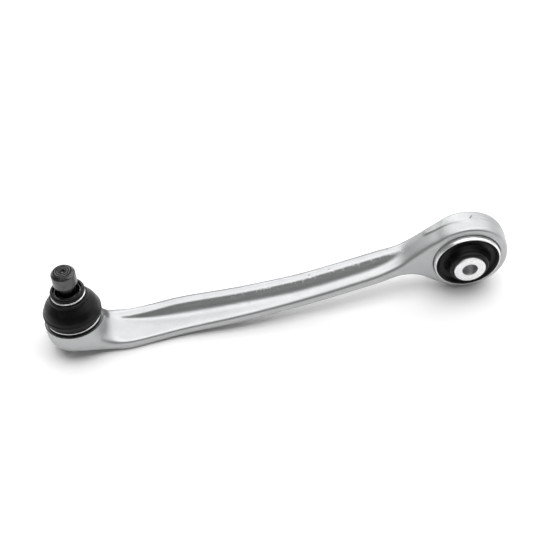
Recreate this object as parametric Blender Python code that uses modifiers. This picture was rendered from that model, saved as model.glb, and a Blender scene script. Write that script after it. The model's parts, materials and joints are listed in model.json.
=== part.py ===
"""Suspension control arm: forged bar, ball joint with its dust boot, rubber-metal bush.

Metres, +Z up. The arm lies flat: +X runs from the ball joint to the bush, the bush axis is
along Y, and the origin is at the middle of the bounding box's bottom.
"""
import math

import bmesh
import bpy
from mathutils import Matrix, Vector

MM = 0.001
GAP = 0.3 * MM              # clearance kept between neighbouring solids
STEPS = 40                  # segments of a turned piece

# Ball joint: a frame of its own, whose origin is the middle of the boot's lower wire ring and
# whose axis is the housing's. Heights along it are called h.
JOINT_PLACE = Vector((-135.1, -6.9, 23.9)) * MM
JOINT_AXIS = Vector((-0.107, 0.108, 0.988))
BALL_HEIGHT = -7.0 * MM
BALL_RADIUS = 10.5 * MM
NECK_RADIUS = 5.6 * MM
STUD_RADIUS = 8.0 * MM      # pin that the knuckle clamps
WAIST_RADIUS = 5.9 * MM     # between the pin and the boot's upper lip
SEAT_STUD_RADIUS = 7.7 * MM # part of the stud inside the boot's upper lip
STUD_TOP = 39.6 * MM
SHELL_WALL = 1.3 * MM
SHELL_LIP = 5.4 * MM        # height of the race's edge above the ball's centre
MOUTH_HEIGHT = 1.0 * MM     # where the ball's bore opens into its chamfer
MOUTH_CHAMFER = 0.6 * MM
CLOSING_TOP = 1.2 * MM      # closing ring: top face, and its coned bore at the top and bottom
CLOSING_BORE_TOP = 11.0 * MM
CLOSING_BORE_BOTTOM = 9.7 * MM
HOUSING_RADIUS = 19.5 * MM
HOUSING_BOTTOM = -21.5 * MM
SEAT_RADIUS = 15.4 * MM     # neck of the housing that the boot's lower lip grips
LOWER_RING_RADIUS = 17.3 * MM
UPPER_RING_RADIUS = 10.7 * MM
UPPER_RING_HEIGHT = 19.9 * MM
WIRE_RADIUS = 0.65 * MM

# Bush: turned about Y through this point.
BUSH_PLACE = Vector((126.3, 8.2, 28.4)) * MM
EYE_RADIUS = 28.4 * MM
EYE_WIDTH = 18.0 * MM
OUTER_SLEEVE_RADIUS = 22.3 * MM
OUTER_SLEEVE_WALL = 1.1 * MM
OUTER_SLEEVE_LENGTH = 24.4 * MM
INNER_SLEEVE_RADIUS = 10.5 * MM
INNER_SLEEVE_LENGTH = 38.0 * MM
BOLT_BORE_RADIUS = 5.1 * MM

# Bar: sections across X, all in millimetres. Each key gives the distance from the ball joint,
# near edge y, far edge y, underside z, height of the near side, height of the rib above it,
# depth of the relief in the far side, and height of the ramp up to the housing's shoulder.
BAR_KEYS = (
    (-6.0, -14.0, 14.0, 10.0, 7.0, 0.2, 0.3, 2.0),
    (2.0, -19.2, 19.0, 9.0, 9.2, 0.2, 0.3, 2.2),
    (8.0, -18.4, 18.4, 7.0, 9.0, 0.8, 0.3, 4.2),
    (15.0, -16.4, 16.6, 3.4, 7.6, 1.4, 0.3, 8.8),
    (23.0, -15.2, 14.8, 0.8, 7.3, 1.8, 0.3, 3.6),
    (29.0, -14.7, 14.1, 0.4, 7.3, 2.2, 0.3, 1.4),
    (36.0, -14.2, 13.5, 0.1, 7.3, 2.7, 0.3, 0.4),
    (50.0, -11.8, 13.4, 0.4, 6.9, 5.0, 0.5, 0.0),
    (70.0, -9.0, 14.0, 1.7, 6.4, 7.6, 1.2, 0.0),
    (110.0, -7.4, 13.0, 5.8, 6.9, 7.6, 1.6, 0.0),
    (150.0, -3.9, 14.0, 10.2, 6.8, 8.2, 1.6, 0.0),
    (190.0, 1.5, 18.9, 14.6, 7.2, 8.2, 1.2, 0.0),
    (206.0, 4.4, 21.8, 15.8, 8.4, 7.0, 0.4, 0.0),
    (218.0, 6.0, 23.6, 17.0, 12.2, 3.8, 0.3, 0.0),
    (229.0, 6.3, 23.9, 15.4, 23.2, 1.6, 0.3, 0.0),
    (240.0, 6.3, 23.9, 9.0, 38.2, 0.5, 0.3, 0.0),
    (250.0, 6.3, 23.9, 3.8, 49.0, 0.2, 0.3, 0.0),
)
BAR_STEP = 7.0              # distance between the lofted sections
RIB_LAND = 7.2              # width of the rib's top
EDGE_ROUND = 1.6            # rounding of the bar's edges

ALUMINIUM = ("forged_aluminium", (0.72, 0.73, 0.74, 1.0), 0.42, 1.0)
STEEL = ("dark_stud_steel", (0.20, 0.20, 0.21, 1.0), 0.35, 1.0)
BRIGHT_WIRE = ("bright_ring_steel", (0.80, 0.80, 0.81, 1.0), 0.18, 1.0)
SEAL_STEEL = ("seal_ring_steel", (0.30, 0.30, 0.31, 1.0), 0.35, 1.0)
RUBBER = ("black_rubber", (0.015, 0.015, 0.015, 1.0), 0.55, 0.0)
POLYMER = ("white_bearing_polymer", (0.82, 0.81, 0.77, 1.0), 0.45, 0.0)
SLEEVE = ("turned_aluminium", (0.78, 0.78, 0.79, 1.0), 0.38, 1.0)


def clear_scene():
    for obj in list(bpy.data.objects):
        bpy.data.objects.remove(obj)


def new_collection(name):
    collection = bpy.data.collections.new(name)
    bpy.context.scene.collection.children.link(collection)
    return collection


def make_material(spec):
    name, color, roughness, metallic = spec
    material = bpy.data.materials.get(name)
    if material:
        return material
    material = bpy.data.materials.new(name)
    material.use_nodes = True
    shader = material.node_tree.nodes["Principled BSDF"]
    shader.inputs["Base Color"].default_value = color
    shader.inputs["Roughness"].default_value = roughness
    shader.inputs["Metallic"].default_value = metallic
    return material


def axis_frame(place, axis):
    """Matrix that puts local Z on the axis and the local origin at the place."""
    return Matrix.Translation(place) @ axis.to_track_quat("Z", "Y").to_matrix().to_4x4()


def arc(centre_r, centre_h, radius, start_deg, end_deg, count):
    """Points (r, h) on an arc; 0 degrees points outwards and 90 up the axis."""
    points = []
    for i in range(count + 1):
        angle = math.radians(start_deg + (end_deg - start_deg) * i / count)
        points.append((centre_r + radius * math.cos(angle), centre_h + radius * math.sin(angle)))
    return points


def turned(name, profile, frame, material, collection, closed=False, steps=STEPS):
    """Solid of revolution. The profile (r, h) runs down its outer side, top to bottom."""
    mesh = bpy.data.meshes.new(name)
    vertices = [(r, 0.0, h) for r, h in profile]
    edges = [(i, i + 1) for i in range(len(vertices) - 1)]
    if closed:
        edges.append((len(vertices) - 1, 0))
    mesh.from_pydata(vertices, edges, [])
    obj = bpy.data.objects.new(name, mesh)
    obj.matrix_world = frame
    obj.data.materials.append(make_material(material))
    collection.objects.link(obj)
    screw = obj.modifiers.new("Turn", "SCREW")
    screw.axis = "Z"
    screw.angle = 2.0 * math.pi
    screw.steps = steps
    screw.render_steps = steps
    screw.use_merge_vertices = True
    screw.merge_threshold = 0.00001
    screw.use_smooth_shade = True
    return obj


def hide_tool(obj):
    obj.hide_render = True
    obj.display_type = "WIRE"
    return obj


def add_boolean(obj, tool, operation):
    boolean = obj.modifiers.new(operation.title(), "BOOLEAN")
    boolean.operation = operation
    boolean.object = tool
    boolean.solver = "EXACT"


def joint_frame():
    return axis_frame(JOINT_PLACE, JOINT_AXIS)


def bush_frame():
    return axis_frame(BUSH_PLACE, Vector((0.0, -1.0, 0.0)))


def half_turned(frame):
    """The frame turned by half a segment, so a cutter's corners miss those of the solid it cuts."""
    return frame @ Matrix.Rotation(math.pi / STEPS, 4, "Z")


def smooth_key(keys, x):
    """Values at x on a smooth curve through the keys (Catmull-Rom over uneven steps)."""
    last = len(keys) - 2
    index = min(max(sum(key[0] <= x for key in keys) - 1, 0), last)
    low, high = keys[index], keys[index + 1]
    before = keys[max(index - 1, 0)]
    after = keys[min(index + 2, len(keys) - 1)]
    span = high[0] - low[0]
    t = (x - low[0]) / span
    values = []
    for k in range(1, len(low)):
        slope_low = (high[k] - before[k]) / (high[0] - before[0]) * span
        slope_high = (after[k] - low[k]) / (after[0] - low[0]) * span
        values.append((2 * t**3 - 3 * t**2 + 1) * low[k] + (t**3 - 2 * t**2 + t) * slope_low
                      + (3 * t**2 - 2 * t**3) * high[k] + (t**3 - t**2) * slope_high)
    return values


def corner(y, z, direction_deg, radius):
    """Three points that round a corner at (y, z) whose bisector points outwards."""
    centre_y = y - radius * math.sqrt(2) * math.cos(math.radians(direction_deg))
    centre_z = z - radius * math.sqrt(2) * math.sin(math.radians(direction_deg))
    return [(centre_y + radius * math.cos(math.radians(a)), centre_z + radius * math.sin(math.radians(a)))
            for a in (direction_deg + 45, direction_deg, direction_deg - 45)]


def bar_section(x):
    """Section across the bar: up the near side, over the plate and rib, down the far side."""
    near, far, base, side, rib, relief, ramp = smooth_key(BAR_KEYS, x)
    plate = base + side
    crest = plate + rib
    land_near = far - RIB_LAND
    wall = 0.5 * rib
    foot = land_near - wall
    points = corner(near, base, -135, EDGE_ROUND)
    points += corner(near, plate, 135, EDGE_ROUND)
    points.append((near + 0.2 * (foot - near), plate + 0.03 * rib + 0.35 * ramp))
    points.append((near + 0.5 * (foot - near), plate + 0.1 * rib + ramp))
    points.append((foot - 0.5 * wall - 0.6, plate + 0.14 * rib + ramp))
    points.append((foot + 0.1 * wall, plate + 0.27 * rib + 0.9 * ramp))
    points.append((foot + 0.6 * wall, plate + 0.58 * rib + 0.8 * ramp))
    points.append((land_near, plate + 0.93 * rib + 0.7 * ramp))
    points.append((land_near + 1.2, crest + 0.5 * ramp))
    points.append((far - 0.45 * RIB_LAND, crest + 0.5 + 0.15 * ramp))
    points += corner(far, crest, 45, EDGE_ROUND)
    middle = 0.5 * (base + crest)
    reach = 0.22 * (crest - base)
    points.append((far, middle + reach))
    points.append((far - relief, middle + 0.5 * reach))
    points.append((far - relief, middle - 0.5 * reach))
    points.append((far, middle - reach))
    points += corner(far, base, -45, EDGE_ROUND)
    points.append((0.5 * (near + far), base + 0.3))
    return points


def make_bar(collection):
    """Loft of the bar's sections, from inside the housing to inside the eye."""
    first, last = BAR_KEYS[0][0], BAR_KEYS[-1][0]
    count = round((last - first) / BAR_STEP)
    build = bmesh.new()
    rings = []
    for i in range(count + 1):
        x = first + (last - first) * i / count
        ring = [build.verts.new((JOINT_PLACE.x + x * MM, JOINT_PLACE.y + y * MM, z * MM))
                for y, z in bar_section(x)]
        rings.append(ring)
    size = len(rings[0])
    for ring, following in zip(rings, rings[1:]):
        for k in range(size):
            build.faces.new((ring[k], ring[(k + 1) % size], following[(k + 1) % size], following[k]))
    build.faces.new(rings[0][::-1])
    build.faces.new(rings[-1])
    bmesh.ops.triangulate(build, faces=build.faces)
    bmesh.ops.recalc_face_normals(build, faces=build.faces)
    mesh = bpy.data.meshes.new("arm_forging")
    build.to_mesh(mesh)
    build.free()
    mesh.shade_smooth()
    obj = bpy.data.objects.new("arm_forging", mesh)
    obj.data.materials.append(make_material(ALUMINIUM))
    collection.objects.link(obj)
    return obj


def housing_profile():
    """Outside of the ball joint's housing: seat for the boot, shoulder, wall and bowl."""
    profile = [(0.0, 2.0 * MM), (SEAT_RADIUS, 2.0 * MM), (SEAT_RADIUS, -2.6 * MM)]
    profile += [(HOUSING_RADIUS - 0.6 * MM, -2.6 * MM), (HOUSING_RADIUS, -3.4 * MM)]
    profile += [(HOUSING_RADIUS - 0.2 * MM, -10.5 * MM), (18.4 * MM, -13.8 * MM)]
    profile += [(16.4 * MM, -16.8 * MM), (13.2 * MM, -19.2 * MM), (8.0 * MM, -20.9 * MM)]
    profile.append((0.0, HOUSING_BOTTOM))
    return profile


def cavity_profile():
    """Bore for the ball and its shell: wide mouth, straight wall, round bottom."""
    bore = BALL_RADIUS + GAP + SHELL_WALL + GAP
    mouth = bore + MOUTH_CHAMFER
    above = MOUTH_HEIGHT + 3.0 * MM
    profile = [(0.0, above), (mouth, above), (mouth, MOUTH_HEIGHT + MOUTH_CHAMFER), (bore, MOUTH_HEIGHT)]
    profile += arc(0.0, BALL_HEIGHT, bore, 0, -90, 8)
    profile[-1] = (0.0, profile[-1][1])
    return profile


def make_arm_forging(collection, tools):
    arm = make_bar(collection)
    housing = hide_tool(turned("housing_boss", housing_profile(), joint_frame(), ALUMINIUM, tools))
    half = 0.5 * EYE_WIDTH
    rim = [(0.0, half), (EYE_RADIUS - 1.7 * MM, half), (EYE_RADIUS - 0.8 * MM, half - 0.6 * MM)]
    rim += [(EYE_RADIUS - 0.3 * MM, half - 2.2 * MM), (EYE_RADIUS, 0.0)]
    rim += [(r, -h) for r, h in rim[-2::-1]]
    eye = hide_tool(turned("eye_boss", rim, bush_frame(), ALUMINIUM, tools))
    cavity = hide_tool(turned("ball_cavity", cavity_profile(), half_turned(joint_frame()), ALUMINIUM, tools))
    bore = OUTER_SLEEVE_RADIUS + GAP
    hole = [(0.0, EYE_WIDTH), (bore, EYE_WIDTH), (bore, -EYE_WIDTH), (0.0, -EYE_WIDTH)]
    eye_bore = hide_tool(turned("eye_bore", hole, half_turned(bush_frame()), ALUMINIUM, tools))
    add_boolean(arm, eye, "UNION")
    add_boolean(arm, eye_bore, "DIFFERENCE")
    add_boolean(arm, housing, "UNION")
    add_boolean(arm, cavity, "DIFFERENCE")
    return arm


def make_ball_stud(collection):
    """Ball, neck, seal seat, waist and chamfered pin with a centre hole."""
    neck_angle = math.degrees(math.acos(NECK_RADIUS / BALL_RADIUS))
    profile = [(0.0, STUD_TOP - 2.2 * MM), (1.2 * MM, STUD_TOP - 1.4 * MM), (1.9 * MM, STUD_TOP)]
    profile += [(STUD_RADIUS - 2.0 * MM, STUD_TOP), (STUD_RADIUS, STUD_TOP - 2.0 * MM)]
    profile += [(STUD_RADIUS, 29.2 * MM)]
    profile += [(6.2 * MM, 28.5 * MM), (WAIST_RADIUS, 27.8 * MM), (WAIST_RADIUS, 21.2 * MM)]
    profile += [(SEAT_STUD_RADIUS, 19.4 * MM), (SEAT_STUD_RADIUS, 16.6 * MM)]
    profile += [(6.8 * MM, 14.0 * MM), (NECK_RADIUS, 9.5 * MM)]
    profile += arc(0.0, BALL_HEIGHT, BALL_RADIUS, neck_angle, -90, 14)
    profile[-1] = (0.0, profile[-1][1])
    return turned("ball_stud", profile, joint_frame(), STEEL, collection)


def make_bearing_shell(collection):
    """Ball race, open at the top, that wraps the ball past its equator."""
    inner = BALL_RADIUS + GAP
    outer = inner + SHELL_WALL
    lip_angle = math.degrees(math.asin(SHELL_LIP / inner))
    profile = arc(0.0, BALL_HEIGHT, inner, -90, lip_angle, 10)
    profile[0] = (0.0, profile[0][1])
    profile.append((outer, BALL_HEIGHT + SHELL_LIP))
    profile += arc(0.0, BALL_HEIGHT, outer, 0, -90, 8)
    profile[-1] = (0.0, profile[-1][1])
    return turned("bearing_shell", profile, joint_frame(), POLYMER, collection)


def make_closing_ring(collection):
    """Flat ring pressed over the race, coned inside to clear the swinging neck."""
    bottom = BALL_HEIGHT + SHELL_LIP + GAP
    outer = BALL_RADIUS + GAP + SHELL_WALL
    profile = [(CLOSING_BORE_TOP, CLOSING_TOP), (outer, CLOSING_TOP)]
    profile += [(outer, bottom), (CLOSING_BORE_BOTTOM, bottom)]
    return turned("closing_ring", profile, joint_frame(), SEAL_STEEL, collection, closed=True)


def make_dust_boot(collection):
    """Rubber boot: gripping lips with wire grooves, and a wide bulge between them."""
    outer = [(9.9, 23.7), (10.9, 23.4), (11.4, 22.4), (11.1, 21.3), (9.75, 20.9), (9.75, 18.9)]
    outer += [(10.9, 18.6), (12.1, 17.9), (12.3, 16.9), (13.9, 14.8), (16.2, 12.0), (18.0, 9.0)]
    outer += [(19.1, 6.0), (19.4, 3.8), (18.9, 2.2), (17.6, 1.2), (16.3, 0.95), (16.3, -0.95)]
    outer += [(18.1, -1.3), (18.4, -1.8), (18.2, -2.3)]
    inner = [(15.75, -2.3), (15.75, 1.9), (17.1, 2.6), (17.5, 3.9), (17.2, 5.8), (16.2, 8.6)]
    inner += [(14.5, 11.3), (12.6, 13.6), (10.8, 15.2), (9.4, 16.2), (9.4, 22.4)]
    profile = [(r * MM, h * MM) for r, h in outer + inner]
    return turned("dust_boot", profile, joint_frame(), RUBBER, collection, closed=True)


def make_boot_insert_ring(collection):
    """Angled steel ring inside the boot's upper lip, which slides on the stud's seat."""
    profile = [(8.3, 22.4), (9.1, 22.2), (9.1, 17.4), (8.0, 17.4), (8.0, 18.1), (8.3, 18.4)]
    profile = [(r * MM, h * MM) for r, h in profile]
    return turned("boot_insert_ring", profile, joint_frame(), SEAL_STEEL, collection, closed=True)


def make_wire_ring(name, radius, height, collection):
    """Closed ring of spring wire that clamps the boot."""
    profile = arc(radius, height, WIRE_RADIUS, 90, -210, 5)
    return turned(name, profile, joint_frame(), BRIGHT_WIRE, collection, closed=True)


def make_bush_outer_sleeve(collection):
    half = 0.5 * OUTER_SLEEVE_LENGTH
    inner = OUTER_SLEEVE_RADIUS - OUTER_SLEEVE_WALL
    bevel = 0.5 * MM
    profile = [(OUTER_SLEEVE_RADIUS - bevel, half), (OUTER_SLEEVE_RADIUS, half - bevel)]
    profile += [(OUTER_SLEEVE_RADIUS, bevel - half), (OUTER_SLEEVE_RADIUS - bevel, -half)]
    profile += [(inner, -half), (inner, half)]
    return turned("bush_outer_sleeve", profile, bush_frame(), SLEEVE, collection, closed=True)


def make_bush_rubber(collection):
    """Rubber spring between the sleeves, dished at both ends with a collar at the middle."""
    outer = OUTER_SLEEVE_RADIUS - OUTER_SLEEVE_WALL - GAP
    inner = INNER_SLEEVE_RADIUS + GAP
    end = [(inner, 17.2), (12.3 * MM, 17.2), (13.0 * MM, 16.4), (13.5 * MM, 13.0), (14.6 * MM, 10.2)]
    end += [(16.8 * MM, 8.7), (19.2 * MM, 9.6), (20.2 * MM, 11.3), (outer, 11.5)]
    profile = [(r, h * MM) for r, h in end] + [(r, -h * MM) for r, h in reversed(end)]
    return turned("bush_rubber", profile, bush_frame(), RUBBER, collection, closed=True)


def make_bush_inner_sleeve(collection):
    half = 0.5 * INNER_SLEEVE_LENGTH
    bevel = 0.6 * MM
    outer, bore = INNER_SLEEVE_RADIUS, BOLT_BORE_RADIUS
    profile = [(bore + bevel, half), (outer - bevel, half), (outer, half - bevel)]
    profile += [(outer, bevel - half), (outer - bevel, -half), (bore + bevel, -half)]
    profile += [(bore, bevel - half), (bore, half - bevel)]
    return turned("bush_inner_sleeve", profile, bush_frame(), SLEEVE, collection, closed=True)


def build():
    clear_scene()
    parts = new_collection("control_arm")
    tools = new_collection("cutters")
    make_arm_forging(parts, tools)
    make_ball_stud(parts)
    make_bearing_shell(parts)
    make_closing_ring(parts)
    make_dust_boot(parts)
    make_boot_insert_ring(parts)
    make_wire_ring("boot_lower_ring", LOWER_RING_RADIUS, 0.0, parts)
    make_wire_ring("boot_upper_ring", UPPER_RING_RADIUS, UPPER_RING_HEIGHT, parts)
    make_bush_outer_sleeve(parts)
    make_bush_rubber(parts)
    make_bush_inner_sleeve(parts)


build()
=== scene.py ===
"""Looks of a suspension control arm: forged bar, ball joint with its boot, rubber-metal bush.

Shapes are in millimetres in their own frames and become metres when a mesh is made.
"""
import json
import math

import bmesh
import bpy
import numpy as np
from mathutils import Matrix, Vector


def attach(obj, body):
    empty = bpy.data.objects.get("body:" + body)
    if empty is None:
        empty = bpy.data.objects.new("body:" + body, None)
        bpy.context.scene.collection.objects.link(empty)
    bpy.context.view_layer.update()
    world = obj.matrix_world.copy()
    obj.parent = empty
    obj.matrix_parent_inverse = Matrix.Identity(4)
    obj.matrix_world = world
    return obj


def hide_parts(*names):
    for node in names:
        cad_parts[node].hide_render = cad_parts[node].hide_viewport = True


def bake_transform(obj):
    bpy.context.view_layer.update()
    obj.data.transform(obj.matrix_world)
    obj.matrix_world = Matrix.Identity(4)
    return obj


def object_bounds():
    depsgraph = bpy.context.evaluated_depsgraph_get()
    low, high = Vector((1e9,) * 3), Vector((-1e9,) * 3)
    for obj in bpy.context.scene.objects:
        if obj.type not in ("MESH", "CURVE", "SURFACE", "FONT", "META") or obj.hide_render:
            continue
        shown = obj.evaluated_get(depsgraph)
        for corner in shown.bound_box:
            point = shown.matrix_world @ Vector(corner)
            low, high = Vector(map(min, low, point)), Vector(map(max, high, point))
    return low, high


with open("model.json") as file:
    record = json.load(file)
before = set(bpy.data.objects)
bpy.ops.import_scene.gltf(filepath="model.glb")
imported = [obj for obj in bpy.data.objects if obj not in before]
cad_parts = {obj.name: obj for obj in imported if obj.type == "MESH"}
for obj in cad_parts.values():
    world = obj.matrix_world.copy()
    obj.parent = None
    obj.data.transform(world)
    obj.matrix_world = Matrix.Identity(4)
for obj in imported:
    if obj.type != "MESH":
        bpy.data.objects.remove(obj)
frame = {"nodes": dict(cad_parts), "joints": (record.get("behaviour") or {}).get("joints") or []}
cad_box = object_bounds()

MM = 0.001
STEPS = 160                 # segments of a turned piece
SHARP = math.radians(38)    # edges above this angle stay sharp
SAME_POINT = 1e-7           # points closer than this, in metres, become one

# Ball joint, along its own axis from the middle of the boot's lower wire ring.
BALL_HEIGHT = -7.0
BALL_RADIUS = 10.5
NECK_RADIUS = 5.6
STUD_RADIUS = 8.0
WAIST_RADIUS = 5.9
SEAT_STUD_RADIUS = 7.7
STUD_TOP = 39.6
HOUSING_RADIUS = 19.5
HOUSING_BOTTOM = -21.5
SEAT_RADIUS = 15.4
SHOULDER_HEIGHT = -2.6
CAVITY_RADIUS = 12.4
LOWER_RING_RADIUS = 17.3
UPPER_RING_RADIUS = 10.7
UPPER_RING_HEIGHT = 19.9
WIRE_RADIUS = 0.65
WIRE_SIDES = 16
BOOT_SEAM = 10.5            # height where the boot's two meshes meet

# Bush, along its own axis from its middle.
EYE_RADIUS = 28.4
EYE_WIDTH = 18.0
EYE_BORE_RADIUS = 22.6
RIM_RELIEF = 0.25           # room left for the parting lines on the eye's rim
OUTER_SLEEVE_RADIUS = 22.3
OUTER_SLEEVE_WALL = 1.1
OUTER_SLEEVE_LENGTH = 24.4
INNER_SLEEVE_RADIUS = 10.5
INNER_SLEEVE_LENGTH = 38.0
BOLT_BORE_RADIUS = 5.1

# Bar: sections across X. Each key gives x, near edge y and far edge y from the middle of the
# boot's lower wire ring, then underside z, height of the near side, height of the rib above it,
# depth of the hollow in the far side, and height of the ramp up to the housing's shoulder.
BAR_KEYS = (
    (-6.0, -14.0, 14.0, 10.0, 7.0, 0.2, 0.3, 2.0),
    (2.0, -19.2, 19.0, 9.0, 9.2, 0.2, 0.3, 2.2),
    (8.0, -18.4, 18.4, 7.0, 9.0, 0.8, 0.3, 4.2),
    (15.0, -16.4, 16.6, 3.4, 7.6, 1.4, 0.3, 8.8),
    (23.0, -15.2, 14.8, 0.8, 7.3, 1.8, 0.3, 3.6),
    (29.0, -14.7, 14.1, 0.4, 7.3, 2.2, 0.3, 1.4),
    (36.0, -14.2, 13.5, 0.1, 7.3, 2.7, 0.3, 0.4),
    (50.0, -11.8, 13.4, 0.4, 6.9, 5.0, 0.5, 0.0),
    (70.0, -9.0, 14.0, 1.7, 6.4, 7.6, 1.2, 0.0),
    (110.0, -7.4, 13.0, 5.8, 6.9, 7.6, 1.6, 0.0),
    (150.0, -3.9, 14.0, 10.2, 6.8, 8.2, 1.6, 0.0),
    (190.0, 1.5, 18.9, 14.6, 7.2, 8.2, 1.2, 0.0),
    (206.0, 4.4, 21.8, 15.8, 8.4, 7.0, 0.4, 0.0),
    (218.0, 6.0, 23.6, 17.0, 12.2, 3.8, 0.3, 0.0),
    (229.0, 6.3, 23.9, 15.4, 23.2, 1.6, 0.3, 0.0),
    (240.0, 6.3, 23.9, 9.0, 38.2, 0.5, 0.3, 0.0),
    (250.0, 6.3, 23.9, 3.8, 49.0, 0.2, 0.3, 0.0),
)
RIB_LAND = 7.2
LAND_CROWN = 0.5
UNDERSIDE_ARCH = 0.3
EDGE_ROUND = 1.6
LOFT_STEP = 1.0
VOXEL = 0.5
SOFTEN_ROUNDS = 14
FILLET_ROUNDS = 120
HOUSING_FILLET = (23.0, 8.5)    # distance from the stud's axis, reach to either side
EYE_FILLET = (91.0, 26.0)       # x in the object's frame, reach to either side
ARM_SKIN = "arm_forging_skin"


# ---------------------------------------------------------------- frames and small geometry

def joint_named(name):
    return next(joint for joint in frame["joints"] if joint["name"] == name)


def axis_frame(place, axis):
    """Matrix that puts local Z on the axis and the local origin at the place."""
    return Matrix.Translation(place) @ axis.to_track_quat("Z", "Y").to_matrix().to_4x4()


STUD_AXIS = Vector(joint_named("stud_spin")["axis"]).normalized()
JOINT_PLACE = Vector(joint_named("stud_spin")["pos_m"]) - BALL_HEIGHT * MM * STUD_AXIS
BUSH_PLACE = Vector(joint_named("bush_torsion")["pos_m"])
JOINT = axis_frame(JOINT_PLACE, STUD_AXIS)
BUSH = axis_frame(BUSH_PLACE, Vector(joint_named("bush_torsion")["axis"]))


def arc(centre_r, centre_h, radius, start_deg, end_deg, count):
    """Points (r, h) on an arc; 0 degrees points outwards and 90 up the axis."""
    points = []
    for i in range(count + 1):
        angle = math.radians(start_deg + (end_deg - start_deg) * i / count)
        points.append((centre_r + radius * math.cos(angle), centre_h + radius * math.sin(angle)))
    return points


def rounded(points, radius, closed=False, parts=4):
    """The outline with each corner replaced by a small curve that starts a radius from it."""
    count = len(points)
    result = []
    for i, point in enumerate(points):
        if not closed and i in (0, count - 1):
            result.append(point)
            continue
        here = Vector(point)
        before = Vector(points[i - 1]) - here
        after = Vector(points[(i + 1) % count]) - here
        reach = min(radius, 0.45 * before.length, 0.45 * after.length)
        start = here + before.normalized() * reach
        end = here + after.normalized() * reach
        for k in range(parts + 1):
            t = k / parts
            result.append(tuple(start * (1 - t) ** 2 + here * 2 * t * (1 - t) + end * t**2))
    return result


def soften(points, rounds, closed=False):
    """Corner cutting: the outline becomes a smooth curve inside its own corners."""
    for _ in range(rounds):
        following = points[1:] + points[:1] if closed else points[1:]
        cut = []
        for (r0, h0), (r1, h1) in zip(points, following):
            cut.append((0.75 * r0 + 0.25 * r1, 0.75 * h0 + 0.25 * h1))
            cut.append((0.25 * r0 + 0.75 * r1, 0.25 * h0 + 0.75 * h1))
        if not closed:
            cut[0], cut[-1] = points[0], points[-1]
        points = cut
    return points


def mirrored(half_profile):
    """The points (r, h), then the same points at -h on the way back."""
    return half_profile + [(r, -h) for r, h in reversed(half_profile)]


def new_object(name, mesh, material=None):
    obj = bpy.data.objects.new(name, mesh)
    bpy.context.scene.collection.objects.link(obj)
    if material:
        mesh.materials.append(material)
    return obj


def finish_mesh(build, name):
    bmesh.ops.recalc_face_normals(build, faces=build.faces)
    if build.calc_volume(signed=True) < 0.0:
        bmesh.ops.reverse_faces(build, faces=build.faces)
    mesh = bpy.data.meshes.new(name)
    build.to_mesh(mesh)
    build.free()
    mesh.shade_smooth()
    mesh.set_sharp_from_angle(angle=SHARP)
    return mesh


def revolve(name, profile, place, material=None, closed=False):
    """Mesh turned about the place's Z from a profile of (r, h) in millimetres."""
    build = bmesh.new()
    columns = []
    for i in range(STEPS):
        angle = 2.0 * math.pi * i / STEPS
        columns.append([build.verts.new((r * MM * math.cos(angle), r * MM * math.sin(angle), h * MM))
                        for r, h in profile])
    count = len(profile)
    for i, here in enumerate(columns):
        following = columns[(i + 1) % STEPS]
        for a in range(count if closed else count - 1):
            b = (a + 1) % count
            build.faces.new((here[a], here[b], following[b], following[a]))
    bmesh.ops.remove_doubles(build, verts=build.verts, dist=SAME_POINT)
    build.transform(place)
    return new_object(name, finish_mesh(build, name), material)


def place_piece(obj, body, node):
    """The piece rides on the body and stands in for the CAD node, which it hides."""
    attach(obj, body)
    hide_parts(node)
    return obj


# ---------------------------------------------------------------- materials

# Linear colours.
FORGING_DARK = (0.41, 0.415, 0.42, 1.0)
FORGING_LIGHT = (0.51, 0.515, 0.52, 1.0)
NICK_GREY = (0.30, 0.30, 0.31, 1.0)
PIT_GREY = (0.26, 0.26, 0.27, 1.0)
FLECK_GLINT_BRIGHT = (0.80, 0.80, 0.81, 1.0)
DARK_MARK_AND_SHADE = (0.07, 0.07, 0.075, 1.0)
STUD_DARK = (0.055, 0.055, 0.057, 1.0)
STUD_LIGHT = (0.13, 0.13, 0.134, 1.0)
STUD_END_GROOVE = (0.008, 0.008, 0.008, 1.0)
STUD_END_CREST = (0.08, 0.08, 0.083, 1.0)
RUBBER_BLACK = (0.002, 0.002, 0.002, 1.0)
RUBBER_BLOOM = (0.007, 0.007, 0.007, 1.0)
DUST_GREY = (0.25, 0.25, 0.25, 1.0)
WIRE_DARK = (0.66, 0.66, 0.67, 1.0)
WIRE_LIGHT = (0.90, 0.90, 0.91, 1.0)
SEAL_DARK = (0.05, 0.05, 0.055, 1.0)
SEAL_WORN = (0.30, 0.30, 0.31, 1.0)
POLYMER_DARK = (0.74, 0.72, 0.66, 1.0)
POLYMER_LIGHT = (0.86, 0.85, 0.81, 1.0)
FLOOR_DARK = (0.97, 0.97, 0.97, 1.0)
FLOOR_LIGHT = (0.99, 0.99, 0.99, 1.0)


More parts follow.
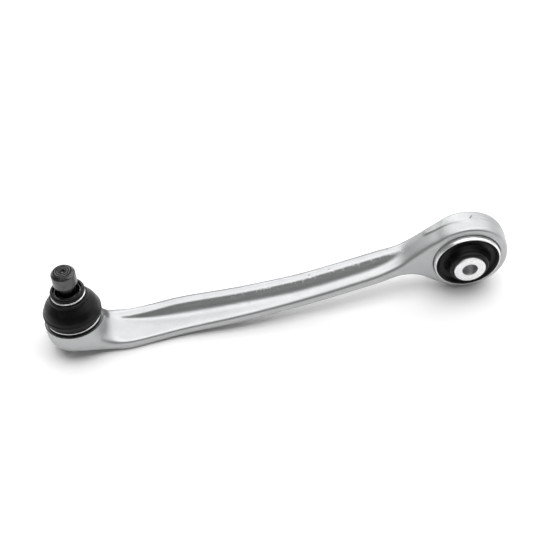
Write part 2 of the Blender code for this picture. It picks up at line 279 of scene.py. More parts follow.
class Nodes:
    """A material's node tree, with short ways to add and link its nodes."""

    def __init__(self, name):
        self.material = bpy.data.materials.new(name)
        self.material.use_nodes = True
        self.tree = self.material.node_tree
        self.shader = self.tree.nodes["Principled BSDF"]

    def node(self, kind, **inputs):
        made = self.tree.nodes.new("ShaderNode" + kind)
        for key, value in inputs.items():
            self.feed(made, key.replace("_", " "), value)
        return made

    def feed(self, node, key, value):
        """Sets an input to a number or links another node's output to it."""
        socket = node.inputs[int(key)] if key.isdigit() else node.inputs[key]
        if isinstance(value, bpy.types.NodeSocket):
            self.tree.links.new(value, socket)
        else:
            socket.default_value = value

    def place(self, frame_matrix=None):
        """Object coordinates in millimetres, in the frame given."""
        coordinates = self.node("TexCoord").outputs["Object"]
        mapping = self.node("Mapping", Vector=coordinates)
        inverse = (frame_matrix or Matrix.Identity(4)).inverted()
        mapping.inputs["Rotation"].default_value = inverse.to_euler()
        mapping.inputs["Location"].default_value = inverse.translation / MM
        mapping.inputs["Scale"].default_value = (1 / MM, 1 / MM, 1 / MM)
        return mapping.outputs["Vector"]

    def math(self, operation, a, b=0.0):
        made = self.tree.nodes.new("ShaderNodeMath")
        made.operation = operation
        self.feed(made, "0", a)
        self.feed(made, "1", b)
        return made.outputs[0]

    def plus(self, a, b):
        return self.math("ADD", a, b)

    def times(self, a, b):
        return self.math("MULTIPLY", a, b)

    def rings(self, distance, frequency):
        """Waves between -1 and 1 along a distance; the frequency is in radians per millimetre."""
        return self.math("SINE", self.times(distance, frequency))

    def noise(self, vector, scale, detail=3.0, rough=0.55, distortion=0.0):
        made = self.node("TexNoise", Vector=vector, Scale=scale, Detail=detail, Roughness=rough,
                         Distortion=distortion)
        return made.outputs["Fac"]

    def painted(self, name):
        """A mask kept with the mesh's points."""
        made = self.node("Attribute")
        made.attribute_name = name
        return made.outputs["Fac"]

    def spots(self, vector, scale):
        """Distance to the nearest of many scattered points."""
        return self.node("TexVoronoi", Vector=vector, Scale=scale).outputs["Distance"]

    def remap(self, value, low, high, to_low=0.0, to_high=1.0):
        made = self.tree.nodes.new("ShaderNodeMapRange")
        made.interpolation_type = "SMOOTHSTEP"
        for key, number in zip(("Value", "From Min", "From Max", "To Min", "To Max"),
                               (value, low, high, to_low, to_high)):
            self.feed(made, key, number)
        return made.outputs["Result"]

    def mix(self, factor, a, b):
        """Colour between two colours. The node keeps its colour sockets at 6, 7 and output 2."""
        made = self.tree.nodes.new("ShaderNodeMix")
        made.data_type = "RGBA"
        for key, value in (("0", factor), ("6", a), ("7", b)):
            self.feed(made, key, value)
        return made.outputs[2]

    def radius_and_height(self, vector):
        """Distance from the local Z axis, and the coordinate along it."""
        x, y, z = self.node("SeparateXYZ", Vector=vector).outputs
        squares = self.plus(self.times(x, x), self.times(y, y))
        return self.math("SQRT", squares), z

    def bump(self, *layers):
        """Bump from (height, strength, distance in millimetres) layers."""
        normal = None
        for height, strength, distance in layers:
            made = self.node("Bump", Height=height, Strength=strength, Distance=distance * MM)
            if normal:
                self.tree.links.new(normal, made.inputs["Normal"])
            normal = made.outputs["Normal"]
        self.feed(self.shader, "Normal", normal)

    def finish(self, color, roughness, metallic, **others):
        self.feed(self.shader, "Base Color", color)
        self.feed(self.shader, "Roughness", roughness)
        self.shader.inputs["Metallic"].default_value = metallic
        for key, value in others.items():
            self.shader.inputs[key.replace("_", " ")].default_value = value
        return self.material


def forged_aluminium():
    """Shot-blasted forging: pits, soft clouds, flecks by the rib painted as glints, dark marks and painted
    shade, a turned shoulder.
    """
    m = Nodes("forged_aluminium")
    p = m.place()
    grain = m.noise(p, 2.6, 4.0, 0.65)
    pits = m.remap(m.spots(p, 0.9), 0.0, 0.28)
    clouds = m.noise(p, 0.09, 4.0, 0.6, 0.4)
    patches = m.remap(m.noise(p, 0.5, 4.0, 0.6), 0.52, 0.62)
    nicks = m.remap(m.noise(p, 0.55, 2.0, 0.5), 0.70, 0.76)
    dark_marks_and_shade = m.painted("dark_marks_and_shade")
    fleck_glints = m.times(m.painted("fleck_glints"), patches)
    radius, height = m.radius_and_height(m.place(JOINT))
    on_shoulder = m.times(m.remap(radius, 26.0, 22.0), m.remap(height, -4.5, -2.9))
    rings = m.times(on_shoulder, m.rings(radius, 6.0))
    color = m.mix(clouds, FORGING_DARK, FORGING_LIGHT)
    color = m.mix(m.times(nicks, 0.4), color, NICK_GREY)
    color = m.mix(m.times(m.math("SUBTRACT", 1.0, pits), 0.30), color, PIT_GREY)
    # Painted glints: bright flecks at the top of the rib's wall, by the near edge of its land, where light
    # catches it; they also give a small bump.
    color = m.mix(m.times(fleck_glints, 0.9), color, FLECK_GLINT_BRIGHT)
    # Painted shade on the far top edges and on the pad by the housing, together with dark parting lines and
    # nicks.
    color = m.mix(dark_marks_and_shade, color, DARK_MARK_AND_SHADE)
    rough = m.plus(m.remap(grain, 0.3, 0.7, 0.40, 0.52), m.times(dark_marks_and_shade, 0.2))
    coarse_layers = ((clouds, 0.3, 0.5), (grain, 0.5, 0.14), (pits, 0.45, 0.10))
    fine_layers = ((fleck_glints, 0.4, 0.15), (rings, 0.5, 0.12))
    m.bump(*coarse_layers, *fine_layers)
    return m.finish(color, rough, 1.0)


def stud_steel():
    """Dark phosphated steel with machining rings on its end and along its pin."""
    m = Nodes("stud_steel")
    p = m.place(JOINT)
    radius, height = m.radius_and_height(p)
    on_end = m.remap(height, STUD_TOP - 0.6, STUD_TOP - 0.3)
    end_rings = m.rings(radius, 4.2)
    side_rings = m.rings(height, 24.0)
    side_rings = m.times(side_rings, m.math("SUBTRACT", 1.0, on_end))
    end_rings = m.times(end_rings, on_end)
    grain = m.noise(p, 3.0, 4.0, 0.7)
    stain = m.noise(p, 0.35, 3.0, 0.6)
    side_color = m.mix(stain, STUD_DARK, STUD_LIGHT)
    end_color = m.mix(m.remap(end_rings, 0.2, 0.95), STUD_END_GROOVE, STUD_END_CREST)
    rough = m.remap(grain, 0.3, 0.7, 0.22, 0.34)
    m.bump((grain, 0.15, 0.05), (side_rings, 0.25, 0.03), (end_rings, 0.6, 0.12))
    return m.finish(m.mix(on_end, side_color, end_color), rough, 1.0)


def black_rubber(name, place, dust):
    """Moulded rubber: satin skin, faint bloom and specks of dust, fine mould rings."""
    m = Nodes(name)
    p = m.place(place)
    radius, height = m.radius_and_height(p)
    grain = m.noise(p, 4.5, 3.0, 0.6)
    bloom = m.noise(p, 0.16, 4.0, 0.62, 0.5)
    rings = m.rings(m.plus(radius, height), 3.6)
    specks = m.remap(m.spots(p, 0.28), 0.06, 0.03)
    color = m.mix(m.remap(bloom, 0.45, 0.75), RUBBER_BLACK, RUBBER_BLOOM)
    color = m.mix(m.times(specks, dust), color, DUST_GREY)
    rough = m.remap(bloom, 0.35, 0.7, 0.32, 0.44)
    m.bump((bloom, 0.15, 0.4), (rings, 0.25, 0.08), (grain, 0.18, 0.05))
    return m.finish(color, rough, 0.0, Specular_IOR_Level=0.20)


def bright_wire():
    """Drawn spring wire: bright, with fine lengthwise scratches."""
    m = Nodes("ring_wire")
    p = m.place(JOINT)
    radius, height = m.radius_and_height(p)
    drawn = m.rings(m.plus(radius, m.times(height, 1.7)), 40.0)
    stain = m.noise(p, 0.5, 3.0, 0.6)
    color = m.mix(stain, WIRE_DARK, WIRE_LIGHT)
    m.bump((drawn, 0.12, 0.02))
    return m.finish(color, m.remap(stain, 0.3, 0.7, 0.14, 0.24), 1.0)


def seal_steel():
    """Pressed steel ring, dark, with worn bright spots."""
    m = Nodes("seal_steel")
    p = m.place(JOINT)
    wear = m.noise(p, 0.9, 4.0, 0.6)
    grain = m.noise(p, 5.0, 3.0, 0.6)
    color = m.mix(m.remap(wear, 0.52, 0.66), SEAL_DARK, SEAL_WORN)
    m.bump((grain, 0.2, 0.04))
    return m.finish(color, m.remap(wear, 0.3, 0.7, 0.36, 0.24), 1.0)


def bearing_polymer():
    """Natural moulded polymer race, slightly cloudy."""
    m = Nodes("bearing_polymer")
    p = m.place(JOINT)
    cloud = m.noise(p, 0.3, 3.0, 0.6)
    color = m.mix(cloud, POLYMER_DARK, POLYMER_LIGHT)
    m.bump((m.noise(p, 2.0, 3.0, 0.6), 0.15, 0.05))
    return m.finish(color, m.remap(cloud, 0.3, 0.7, 0.40, 0.5), 0.0)


def turned_aluminium(name, low, high, mottle):
    """Cut aluminium: turning marks round the axis, broken up by a mottled etch."""
    m = Nodes(name)
    p = m.place(BUSH)
    radius, height = m.radius_and_height(p)
    turning = m.rings(m.plus(radius, height), 22.0)
    etch = m.noise(p, 0.8, 5.0, 0.7)
    scratches = m.noise(p, 4.0, 3.0, 0.6)
    dark, light = (low, low, low * 1.01, 1.0), (high, high, high * 1.01, 1.0)
    color = m.mix(m.remap(etch, 0.35, 0.65), dark, light)
    rough = m.remap(etch, 0.3, 0.7, 0.30, 0.30 + mottle)
    m.bump((etch, 0.25, 0.10), (turning, 0.15, 0.02), (scratches, 0.12, 0.04))
    return m.finish(color, rough, 1.0)


# ---------------------------------------------------------------- forged arm

def smooth_key(keys, x):
    """Values at x on a smooth curve through the keys (Catmull-Rom over uneven steps)."""
    last = len(keys) - 2
    index = min(max(sum(key[0] <= x for key in keys) - 1, 0), last)
    low, high = keys[index], keys[index + 1]
    before = keys[max(index - 1, 0)]
    after = keys[min(index + 2, len(keys) - 1)]
    span = high[0] - low[0]
    t = (x - low[0]) / span
    values = []
    for k in range(1, len(low)):
        slope_low = (high[k] - before[k]) / (high[0] - before[0]) * span
        slope_high = (after[k] - low[k]) / (after[0] - low[0]) * span
        values.append((2 * t**3 - 3 * t**2 + 1) * low[k] + (t**3 - 2 * t**2 + t) * slope_low
                      + (3 * t**2 - 2 * t**3) * high[k] + (t**3 - t**2) * slope_high)
    return values


def corner(y, z, direction_deg, radius):
    """Three points that round a corner at (y, z) whose bisector points outwards."""
    centre_y = y - radius * math.sqrt(2) * math.cos(math.radians(direction_deg))
    centre_z = z - radius * math.sqrt(2) * math.sin(math.radians(direction_deg))
    return arc(centre_y, centre_z, radius, direction_deg + 45, direction_deg - 45, 2)


def over_plate(near, foot, wall, land_near):
    """Points from the near edge to the rib's land: y, share of the rib, share of the ramp."""
    return (
        (near + 0.2 * (foot - near), 0.03, 0.65),
        (near + 0.5 * (foot - near), 0.10, 1.0),
        (foot - 0.5 * wall - 0.6, 0.14, 1.0),
        (foot + 0.1 * wall, 0.27, 0.9),
        (foot + 0.6 * wall, 0.58, 0.8),
        (land_near, 0.93, 0.7),
    )


def bar_section(x):
    """Section across the bar: up the near side, over the plate and rib, down the far side."""
    near, far, base, side, rib, hollow, rise = smooth_key(BAR_KEYS, x)
    plate = base + side
    crest = plate + rib
    land_near = far - RIB_LAND
    wall = 0.5 * rib
    foot = land_near - wall
    points = corner(near, base, -135, EDGE_ROUND)
    points += corner(near, plate + 0.4 * rise, 135, EDGE_ROUND)
    for y, rib_share, rise_share in over_plate(near, foot, wall, land_near):
        points.append((y, plate + rib_share * rib + rise_share * rise))
    # Along the rib's land, which is slightly crowned.
    points.append((land_near + 1.2, crest + 0.5 * rise))
    points.append((far - 0.45 * RIB_LAND, crest + LAND_CROWN + 0.15 * rise))
    points += corner(far, crest, 45, EDGE_ROUND)
    # Down the far side, with its shallow hollow, and along the underside.
    middle = 0.5 * (base + crest)
    reach = 0.22 * (crest - base)
    points.append((far, middle + reach))
    points.append((far - hollow, middle + 0.5 * reach))
    points.append((far - hollow, middle - 0.5 * reach))
    points.append((far, middle - reach))
    points += corner(far, base, -45, EDGE_ROUND)
    points.append((0.5 * (near + far), base + UNDERSIDE_ARCH))
    return soften(points, 2, closed=True)


def make_bar():
    """Loft of the bar's sections, from inside the housing to inside the eye."""
    first, last = BAR_KEYS[0][0], BAR_KEYS[-1][0]
    count = round((last - first) / LOFT_STEP)
    build = bmesh.new()
    rings = []
    for i in range(count + 1):
        x = first + (last - first) * i / count
        rings.append([build.verts.new((JOINT_PLACE.x + x * MM, JOINT_PLACE.y + y * MM, z * MM))
                      for y, z in bar_section(x)])
    size = len(rings[0])
    for ring, following in zip(rings, rings[1:]):
        for k in range(size):
            build.faces.new((ring[k], ring[(k + 1) % size], following[(k + 1) % size], following[k]))
    build.faces.new(rings[0][::-1])
    build.faces.new(rings[-1])
    return new_object("bar", finish_mesh(build, "bar"))


def make_housing_boss():
    """The housing's outside: flat shoulder, short wall and bowl."""
    wall = [(0.0, 2.0), (SEAT_RADIUS + 2.0, 2.0), (HOUSING_RADIUS, 0.0), (HOUSING_RADIUS, -3.4)]
    bowl = [(19.3, -10.5), (18.4, -13.8), (16.4, -16.8), (13.2, -19.2), (8.0, -20.9), (0.0, HOUSING_BOTTOM)]
    return revolve("housing_boss", wall + bowl, JOINT)


def make_eye_boss():
    """The eye's outside: a drum with a slightly crowned rim."""
    half = 0.5 * EYE_WIDTH
    radius = EYE_RADIUS - RIM_RELIEF
    rim = [(0.0, half), (radius - 1.7, half), (radius - 0.8, half - 0.6)]
    rim += [(radius - 0.3, half - 2.2), (radius, 0.0)]
    rim += [(r, -h) for r, h in rim[-2::-1]]
    return revolve("eye_boss", rim, BUSH)


def evaluated(obj, name):
    """Mesh of the object with its modifiers applied; the object itself goes."""
    depsgraph = bpy.context.evaluated_depsgraph_get()
    mesh = bpy.data.meshes.new_from_object(obj.evaluated_get(depsgraph))
    mesh.name = name
    bpy.data.objects.remove(obj)
    return mesh


def joined(objects, name):
    """One object that holds the meshes of all, which go."""
    build = bmesh.new()
    for obj in objects:
        build.from_mesh(obj.data)
        bpy.data.objects.remove(obj)
    mesh = bpy.data.meshes.new(name)
    build.to_mesh(mesh)
    build.free()
    return new_object(name, mesh)


def relaxed(points, edges, weight, rounds):
    """Each point moves half way to its neighbours' mean, times its weight, round after round."""
    a, b = edges.T
    size = len(points)
    degree = np.bincount(edges.ravel(), minlength=size)[:, None]
    for _ in range(rounds):
        sums = [np.bincount(a, column[b], size) + np.bincount(b, column[a], size)
                for column in points.T]
        points = points + 0.5 * weight[:, None] * (np.stack(sums, axis=1) / degree - points)
    return points


def bell(value, centre, width):
    """1 at the centre, falling smoothly to 0 at the width on either side."""
    t = np.clip(np.abs(value - centre) / width, 0.0, 1.0)
    return 1.0 - t * t * (3.0 - 2.0 * t)


def ramp(value, low, high):
    """0 at low and below, 1 at high and beyond, smooth between."""
    t = np.clip((value - low) / (high - low), 0.0, 1.0)
    return t * t * (3.0 - 2.0 * t)


def polyline(keys, x, column=1):
    """Values of one column at x, on straight lines through the keys."""
    return np.interp(x, [key[0] for key in keys], [key[column] for key in keys])


def vectors(collection, name):
    """The vectors of a mesh collection as an array of rows."""
    values = np.zeros(len(collection) * 3)
    collection.foreach_get(name, values)
    return values.reshape(-1, 3)


# Marks of the forging, in the object's millimetres. The step in the eye's rim: x and y.
STEP_KEYS = (
    (96.0, 10.9),
    (99.0, 10.4),
    (107.0, 9.4),
    (116.0, 8.5),
    (125.0, 6.9),
    (134.0, 7.2),
    (150.0, 8.2),
)
STEP_HEIGHT = 0.75
STEP_HALF_WIDTH = 0.7
STEP_REACH = 4.5            # how far from the step the rim is raised
# Nicks and bits of flash: x, y, size, how far they stand out, how dark they are.
NICKS = (
    (21.1, 2.8, 0.9, -0.25, 0.7),
    (34.7, 4.5, 0.8, -0.25, 0.7),
    (28.0, 1.5, 0.7, -0.15, 0.3),
    (74.9, 12.6, 0.9, -0.22, 0.6),
    (128.6, 9.8, 0.9, 0.20, 1.0),
    (129.3, 10.8, 1.0, 0.25, 1.0),
    (130.0, 11.8, 0.8, 0.20, 1.0),
    (61.0, -3.0, 0.7, -0.15, 0.2),
    (-20.0, -6.0, 0.8, -0.12, 0.2),
    (-95.0, -15.0, 0.9, 0.15, 0.0),
    (-113.0, 3.0, 1.2, -0.40, 0.9),
)
PARTING_INSET = 1.9         # from the rib's far edge to the parting line
PARTING_WIDTH = 0.8
PARTING_HEIGHT = 0.30
PARTING_DARKNESS = 0.60
# Parting lines on the eye's rim: y from the bush's middle, share of the relief.
RIM_SEAMS = ((1.0, 1.0), (4.2, 0.8))
RIM_SEAM_WIDTH = 0.8
RIM_SEAM_DARKNESS = 0.30
RIM_SEAM_DARK_WIDTH = 0.6
BACK_EDGE_SHADE = 0.65
FLECK_INSET = 0.3           # from the near edge of the rib's land
FLECK_WIDTH = 1.3
LUMP_PLACE = (20.2, 8.0)    # raised rough pad beside the housing, painted darker as shade: x and y as in the bar's keys
LUMP_SIZE = (3.2, 5.4)
LUMP_HEIGHT = 0.8
LUMP_SHADE = 0.80


def rib_masks(points, normals):
    """Where each point is: x, y, z, far edge's y, on the rib or not, on the eye's rim or not."""
    x, y, z = (points / MM).T
    far = polyline(BAR_KEYS, x - JOINT_PLACE.x / MM, column=2) + JOINT_PLACE.y / MM
    on_rib = ramp(x, -100.0, -80.0) * (1.0 - ramp(x, 86.0, 94.0)) * (normals[:, 2] > 0.35)
    rim = np.hypot(x - BUSH_PLACE.x / MM, z - BUSH_PLACE.z / MM)
    on_rim = (rim > EYE_RADIUS - 2.5) * ramp(x, 122.0, 150.0)
    return x, y, z, far, on_rib, on_rim


def lump_mask(x, y):
    """1 on the rough pad beside the housing."""
    across = (x - JOINT_PLACE.x / MM - LUMP_PLACE[0]) / LUMP_SIZE[0]
    along = (y - JOINT_PLACE.y / MM - LUMP_PLACE[1]) / LUMP_SIZE[1]
    return 1.0 - ramp(np.hypot(across, along), 0.7, 1.1)


def relief(points, normals):
    """How far each point moves out along its normal for the forging's marks, in millimetres."""
    x, y, z, far, on_rib, on_rim = rib_masks(points, normals)
    upward = normals[:, 2] > 0.4
    out = PARTING_HEIGHT * bell(y, far - PARTING_INSET, PARTING_WIDTH) * on_rib
    step_y = polyline(STEP_KEYS, x)
    on_eye = ramp(x, 97.5, 101.0) * (1.0 - ramp(x, 120.0, 132.0)) * (z > BUSH_PLACE.z / MM)
    step = STEP_HEIGHT * ramp(y - step_y, -STEP_HALF_WIDTH, STEP_HALF_WIDTH)
    out += step * on_eye * bell(y, step_y, STEP_REACH)
    for offset, share in RIM_SEAMS:
        out += RIM_RELIEF * share * bell(y, BUSH_PLACE.y / MM + offset, RIM_SEAM_WIDTH) * on_rim
    for nick_x, nick_y, size, height, _ in NICKS:
        out += height * bell(np.hypot(x - nick_x, y - nick_y), 0.0, size) * upward
    rough = np.sin(2.7 * x + 1.3 * y) * np.sin(1.9 * y - 1.1 * z) + 0.5 * np.sin(4.3 * y + 2.1 * x)
    out += (LUMP_HEIGHT + 0.30 * rough) * lump_mask(x, y) * upward
    return out


def paint_marks(mesh):
    """Masks for the material: painted shade on the far top edges and on the pad by the housing, dark parting
    lines and nicks, painted glints along the rib.
    """
    points = vectors(mesh.vertices, "co")
    normals = vectors(mesh.vertex_normals, "vector")
    x, y, _, far, on_rib, on_rim = rib_masks(points, normals)
    upward = normals[:, 2] > 0.3
    # Darker along the parting line on the rib's land.
    dark_marks_and_shade = PARTING_DARKNESS * bell(y, far - PARTING_INSET - 0.2, PARTING_WIDTH) * on_rib
    # Painted shade: darker where the surface faces back and up, along the far top edges.
    back_edge = np.clip(normals[:, 1], 0.0, 1.0) * np.clip(normals[:, 2], 0.0, 1.0)
    dark_marks_and_shade = np.maximum(dark_marks_and_shade, BACK_EDGE_SHADE * ramp(back_edge, 0.25, 0.45))
    # Darker along the parting lines on the eye's rim.
    for offset, _ in RIM_SEAMS:
        seam = bell(y, BUSH_PLACE.y / MM + offset, RIM_SEAM_DARK_WIDTH)
        dark_marks_and_shade = np.maximum(dark_marks_and_shade, RIM_SEAM_DARKNESS * seam * on_rim)
    for nick_x, nick_y, size, _, dark in NICKS:
        dark_marks_and_shade = np.maximum(dark_marks_and_shade, dark * bell(np.hypot(x - nick_x, y - nick_y), 0.0, size) * upward)
    rough = np.sin(3.1 * x + 0.7 * y) * np.sin(2.3 * y - 1.7 * x)
    # Painted shade: the rough pad beside the housing is darkened to the grey of the housing's wall there.
    dark_marks_and_shade = np.maximum(dark_marks_and_shade, (LUMP_SHADE + 0.20 * rough) * lump_mask(x, y) * upward)
    # Painted glints: bright flecks at the top of the rib's wall, by the near edge of its land.
    fleck_glints = bell(y, far - RIB_LAND - FLECK_INSET, FLECK_WIDTH) * on_rib * ramp(x, -60.0, -10.0)
    for name, values in (("dark_marks_and_shade", dark_marks_and_shade), ("fleck_glints", fleck_glints)):
        attribute = mesh.attributes.new(name, "FLOAT", "POINT")
        attribute.data.foreach_set("value", values.astype(np.float32))


def make_cutters():
    """Machined hollows: the boot's seat, the ball's cavity and the bush's bore."""
    outside = HOUSING_RADIUS + 6.0
    top = SHOULDER_HEIGHT + 12.0
    seat = [(SEAT_RADIUS, top), (outside, top), (outside, -1.6), (HOUSING_RADIUS + 0.2, -2.0)]
    seat += [(HOUSING_RADIUS - 0.6, SHOULDER_HEIGHT), (SEAT_RADIUS, SHOULDER_HEIGHT)]
    bore = CAVITY_RADIUS
    cavity = [(0.0, 6.0), (bore + 1.4, 6.0), (bore + 1.4, 2.3), (bore + 0.6, 1.6), (bore, 1.0)]
    cavity += arc(0.0, BALL_HEIGHT, bore, 0, -90, 16)[:-1] + [(0.0, BALL_HEIGHT - bore)]
    hole_out = EYE_BORE_RADIUS + 1.2
    half = 0.5 * EYE_WIDTH
    hole = [(0.0, half + 3.0), (hole_out, half + 3.0), (hole_out, half + 0.6), (EYE_BORE_RADIUS, half - 0.6)]
    pieces = [revolve("seat_cutter", seat, JOINT, closed=True)]
    pieces.append(revolve("cavity_cutter", cavity, JOINT))
    pieces.append(revolve("bore_cutter", mirrored(hole), BUSH))
    return joined(pieces, "cutters")


def fused_blank():
    """Mesh of the bar, the housing and the eye, fused."""
    blank = joined([make_bar(), make_housing_boss(), make_eye_boss()], "blank")
    remesh = blank.modifiers.new("Fuse", "REMESH")
    remesh.mode = "VOXEL"
    remesh.voxel_size = VOXEL * MM
    return evaluated(blank, ARM_SKIN)


def fillet_weight(points):
    """1 where a wide fillet leads round the housing's foot or into the eye, 0 elsewhere."""
    local = (points - np.array(JOINT_PLACE)) / MM
    along = local @ np.array(STUD_AXIS)
    off_axis = np.linalg.norm(local - along[:, None] * np.array(STUD_AXIS), axis=1)
    near_housing = bell(off_axis, *HOUSING_FILLET) * (local[:, 0] > 0) * ramp(along, -1.0, -4.5)
    near_eye = bell(points[:, 0] / MM, *EYE_FILLET)
    return np.clip(near_housing + near_eye, 0.0, 1.0)


def move_points(mesh, points):
    mesh.vertices.foreach_set("co", points.ravel())
    mesh.update()


def shape_forging(mesh):
    """Softens the fused mesh like a forging and gives it its marks."""
    edges = np.zeros(len(mesh.edges) * 2, int)
    mesh.edges.foreach_get("vertices", edges)
    edges = edges.reshape(-1, 2)
    everywhere = np.ones(len(mesh.vertices))
    points = relaxed(vectors(mesh.vertices, "co"), edges, everywhere, SOFTEN_ROUNDS)
    points = relaxed(points, edges, fillet_weight(points), FILLET_ROUNDS)
    move_points(mesh, points)
    normals = vectors(mesh.vertex_normals, "vector")
    points += relief(points, normals)[:, None] * MM * normals
    move_points(mesh, points)


def machined(mesh):
    """The forging's mesh with its machined hollows cut out."""
    arm = new_object(ARM_SKIN, mesh)
    cutters = make_cutters()
    boolean = arm.modifiers.new("Machine", "BOOLEAN")
    boolean.operation = "DIFFERENCE"
    boolean.object = cutters
    boolean.solver = "EXACT"
    mesh = evaluated(arm, ARM_SKIN)
    bpy.data.objects.remove(cutters)
    mesh.materials.clear()
    return mesh


def make_arm(material):
    """The forged arm: fused, softened and marked, then machined and painted with its masks."""
    blank = fused_blank()
    shape_forging(blank)
    mesh = machined(blank)
    paint_marks(mesh)
    mesh.shade_smooth()
    mesh.set_sharp_from_angle(angle=SHARP)
    arm = new_object(ARM_SKIN, mesh, material)
    return place_piece(arm, "arm", "arm_forging")


# ---------------------------------------------------------------- ball joint

def make_stud(material):
    """Ball, neck, seat for the boot, waist and pin with a centre mark."""
    neck_angle = math.degrees(math.acos(NECK_RADIUS / BALL_RADIUS))
    top = STUD_TOP
    end = [(0.0, top - 2.2), (1.1, top - 1.5), (1.9, top), (3.3, top), (3.45, top - 0.12)]
    end += [(3.6, top), (STUD_RADIUS - 2.0, top), (STUD_RADIUS, top - 2.0)]
    side = [(STUD_RADIUS, 29.2), (6.2, 28.5), (WAIST_RADIUS, 27.8), (WAIST_RADIUS, 21.2)]
    side += [(SEAT_STUD_RADIUS, 19.4), (SEAT_STUD_RADIUS, 16.6), (6.8, 14.0), (NECK_RADIUS, 9.5)]
    ball = arc(0.0, BALL_HEIGHT, BALL_RADIUS, neck_angle, -90, 40)
    ball[-1] = (0.0, ball[-1][1])
    profile = rounded(end + side, 0.35) + ball
    stud = revolve("ball_stud_skin", profile, JOINT, material)
    return place_piece(stud, "stud", "ball_stud")


def boot_outline():
    """Outer and inner skin of the boot, from the upper lip down."""
    outer = [(9.7, 23.7), (10.9, 23.6), (11.5, 22.4), (11.3, 21.2), (9.75, 21.0), (9.75, 18.8)]
    outer += [(10.3, 18.6), (12.2, 18.5), (12.9, 17.6), (12.6, 16.7), (12.6, 16.3), (13.6, 15.2)]
    outer += [(15.0, 13.6), (16.5, 11.8), (17.8, 9.4), (18.6, 7.1), (18.7, 6.3), (19.15, 6.1)]
    outer += [(19.25, 5.3), (18.9, 4.9), (19.1, 4.0), (18.8, 3.3), (19.0, 2.9), (18.8, 2.3), (18.3, 2.1)]
    outer += [(17.6, 1.2), (16.3, 0.95), (16.3, -0.95), (17.5, -1.1), (17.9, -1.3), (17.9, -2.3)]
    inner = [(9.4, 22.4), (9.4, 16.2), (10.8, 15.2), (12.6, 13.6), (14.5, 11.3), (16.2, 8.6)]
    inner += [(17.2, 5.8), (17.5, 3.9), (17.1, 2.6), (15.75, 1.9), (15.75, -2.3)]
    return soften(outer, 3), soften(inner, 3)


def cut_outline(points, height, above):
    """The part of an outline above or below a height, with a point at the height itself."""
    kept = [p for p in points if (p[1] > height) == above]
    for (r0, h0), (r1, h1) in zip(points, points[1:]):
        if (h0 > height) != (h1 > height):
            share = (height - h0) / (h1 - h0)
            crossing = (r0 + share * (r1 - r0), height)
    if above:
        return kept + [crossing]
    return [crossing] + kept


def make_boot(material):
    """Two meshes that meet at the seam: the boot's part below it and its part above it."""
    outer, inner = boot_outline()
    made = []
    for name, above in (("dust_boot_lower", False), ("dust_boot_upper", True)):
        profile = cut_outline(outer, BOOT_SEAM, above) + cut_outline(inner, BOOT_SEAM, above)[::-1]
        boot = revolve(name, profile, JOINT, material, closed=True)
        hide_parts("dust_boot")
        made.append(boot)
    lower, upper = made
    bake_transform(lower)
    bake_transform(upper)


def make_wire_ring(name, radius, height, body, material):
    """Round wire ring that holds one of the boot's lips."""
    profile = arc(radius, height, WIRE_RADIUS, 0, 360 - 360 / WIRE_SIDES, WIRE_SIDES - 1)
    ring = revolve(name + "_skin", profile, JOINT, material, closed=True)
    return place_piece(ring, body, name)


def make_insert_ring(material):
    """Steel ring inside the boot's upper lip."""
    profile = [(8.3, 22.4), (9.1, 22.2), (9.1, 17.4), (8.0, 17.4), (8.0, 18.1), (8.3, 18.4)]
    ring = revolve("boot_insert_ring_skin", rounded(profile, 0.2, closed=True), JOINT, material, closed=True)
    return place_piece(ring, "boot_top", "boot_insert_ring")


# ---------------------------------------------------------------- bush

def make_outer_sleeve(material):
    """Pressed-in sleeve with coned ends."""
    half = 0.5 * OUTER_SLEEVE_LENGTH
    inner = OUTER_SLEEVE_RADIUS - OUTER_SLEEVE_WALL
    cone = [(OUTER_SLEEVE_RADIUS - 0.7, half), (OUTER_SLEEVE_RADIUS, half - 1.3)]
    inside = [(inner, -half), (inner, half)]
    profile = rounded(mirrored(cone) + inside, 0.25, closed=True)
    sleeve = revolve("bush_outer_sleeve_skin", profile, BUSH, material, closed=True)
    return place_piece(sleeve, "arm", "bush_outer_sleeve")


def make_rubber(material):
    """Rubber spring, dished at both ends, with a collar at the inner sleeve."""
    outer = OUTER_SLEEVE_RADIUS - OUTER_SLEEVE_WALL - 0.1
    inner = INNER_SLEEVE_RADIUS + 0.1
    end = [(inner, 16.8), (inner + 0.3, 17.3), (12.4, 17.4), (13.1, 16.6), (13.3, 14.8), (13.6, 13.0)]
    end += [(14.6, 10.2), (16.8, 8.6), (19.0, 9.4), (20.2, 11.1), (outer, 11.5)]
    profile = mirrored(soften(end, 3))
    rubber = revolve("bush_rubber_skin", profile, BUSH, material, closed=True)
    return place_piece(rubber, "arm", "bush_rubber")


def make_inner_sleeve(material):
    """Tube that the chassis bolt clamps."""
    half = 0.5 * INNER_SLEEVE_LENGTH
    outer, bore = INNER_SLEEVE_RADIUS, BOLT_BORE_RADIUS
    profile = rounded([(outer, half), (outer, -half), (bore, -half), (bore, half)], 0.6, closed=True)
    sleeve = revolve("bush_inner_sleeve_skin", profile, BUSH, material, closed=True)
    return place_piece(sleeve, "bush_core", "bush_inner_sleeve")


# ---------------------------------------------------------------- studio

# Angles in degrees: azimuth 0 is in front of the part, 90 to its right and 180 behind it.
# Places and sizes in metres, lens and sensor in millimetres.
CAMERA_AZIMUTH = -8.61
CAMERA_ELEVATION = 48.25
CAMERA_DISTANCE = 1.400
CAMERA_ASIDE = -0.0052
CAMERA_UP = 0.0251
CAMERA_LENS = 140.3
SENSOR_WIDTH = 36.0
WORLD_STRENGTH = 0.16
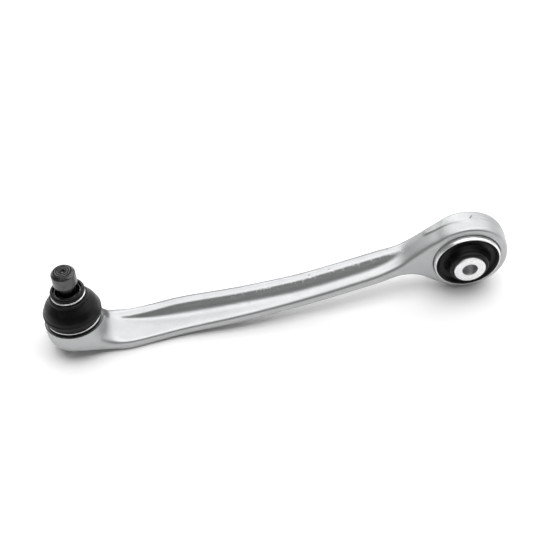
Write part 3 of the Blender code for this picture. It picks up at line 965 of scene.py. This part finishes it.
# Rectangular lights: name, azimuth, elevation, distance, width, height, power.
LIGHTS = (
    ("back_softbox", 174, 50, 2.4, 4.4, 2.8, 36.0),
    ("back_key", 182, 28, 2.4, 1.8, 0.6, 15.0),
    ("left_wall", 226, 40, 2.6, 2.4, 2.0, 9.0),
    ("right_wall", 108, 32, 2.6, 3.2, 2.4, 30.0),
    ("top_softbox", 0, 87, 2.4, 3.2, 1.5, 42.0),
)
FLOOR_HALF_SIZE = 4.0
FLOOR_GAP = 0.1             # millimetres between the part's underside and the floor


def away_from_part(azimuth_deg, elevation_deg):
    """Unit vector from the part towards a camera or light."""
    azimuth, elevation = math.radians(azimuth_deg), math.radians(elevation_deg)
    return Vector((math.sin(azimuth) * math.cos(elevation), -math.cos(azimuth) * math.cos(elevation),
                   math.sin(elevation)))


def aim(obj, away):
    """Turns a camera or light to look back along the vector, and adds it to the scene."""
    obj.rotation_mode = "QUATERNION"
    obj.rotation_quaternion = (-away).to_track_quat("-Z", "Y")
    bpy.context.scene.collection.objects.link(obj)


def make_camera():
    azimuth = math.radians(CAMERA_AZIMUTH)
    back = away_from_part(CAMERA_AZIMUTH, CAMERA_ELEVATION)
    right = Vector((math.cos(azimuth), math.sin(azimuth), 0.0))
    up = back.cross(right)
    data = bpy.data.cameras.new("camera")
    data.lens = CAMERA_LENS
    data.sensor_width = SENSOR_WIDTH
    data.clip_start = 0.05
    data.clip_end = 20.0
    camera = bpy.data.objects.new("camera", data)
    camera.location = CAMERA_ASIDE * right + CAMERA_UP * up + CAMERA_DISTANCE * back
    aim(camera, back)
    bpy.context.scene.camera = camera


def make_floor():
    """Matt white table under the part."""
    build = bmesh.new()
    bmesh.ops.create_grid(build, x_segments=1, y_segments=1, size=FLOOR_HALF_SIZE)
    m = Nodes("studio_floor")
    shade = m.noise(m.place(), 0.004, 2.0, 0.5)
    material = m.finish(m.mix(shade, FLOOR_DARK, FLOOR_LIGHT), 0.9, 0.0)
    floor = new_object("studio_floor", finish_mesh(build, "studio_floor"), material)
    floor.location.z = cad_box[0].z - FLOOR_GAP * MM


def add_area_light(name, azimuth_deg, elevation_deg, distance, width, height, power):
    """Rectangular soft light that faces the part."""
    away = away_from_part(azimuth_deg, elevation_deg)
    data = bpy.data.lights.new(name, "AREA")
    data.shape = "RECTANGLE"
    data.size = width
    data.size_y = height
    data.energy = power
    light = bpy.data.objects.new(name, data)
    light.location = away * distance
    aim(light, away)


def make_lights():
    world = bpy.data.worlds.new("studio")
    world.use_nodes = True
    background = world.node_tree.nodes["Background"]
    background.inputs["Color"].default_value = (1.0, 1.0, 1.0, 1.0)
    background.inputs["Strength"].default_value = WORLD_STRENGTH
    bpy.context.scene.world = world
    bpy.context.scene.view_settings.view_transform = "Standard"
    for light in LIGHTS:
        add_area_light(*light)


def finish_hidden_nodes(materials):
    """Materials for the nodes that no visual piece replaces, by the node's name."""
    for node, material in materials.items():
        mesh = frame["nodes"][node].data
        mesh.materials.clear()
        mesh.materials.append(material)


def build_scene():
    make_camera()
    make_floor()
    make_lights()
    forged = forged_aluminium()
    steel = stud_steel()
    boot = black_rubber("boot_rubber", JOINT, 0.6)
    rubber = black_rubber("bush_rubber", BUSH, 0.2)
    wire = bright_wire()
    ring = seal_steel()
    make_arm(forged)
    make_stud(steel)
    make_boot(boot)
    make_wire_ring("boot_lower_ring", LOWER_RING_RADIUS, 0.0, "arm", wire)
    make_wire_ring("boot_upper_ring", UPPER_RING_RADIUS, UPPER_RING_HEIGHT, "boot_top", wire)
    make_insert_ring(ring)
    make_outer_sleeve(turned_aluminium("outer_sleeve_aluminium", 0.84, 0.93, 0.05))
    make_rubber(rubber)
    make_inner_sleeve(turned_aluminium("inner_sleeve_aluminium", 0.68, 0.88, 0.16))
    finish_hidden_nodes({"bearing_shell": bearing_polymer(), "closing_ring": ring})


build_scene()
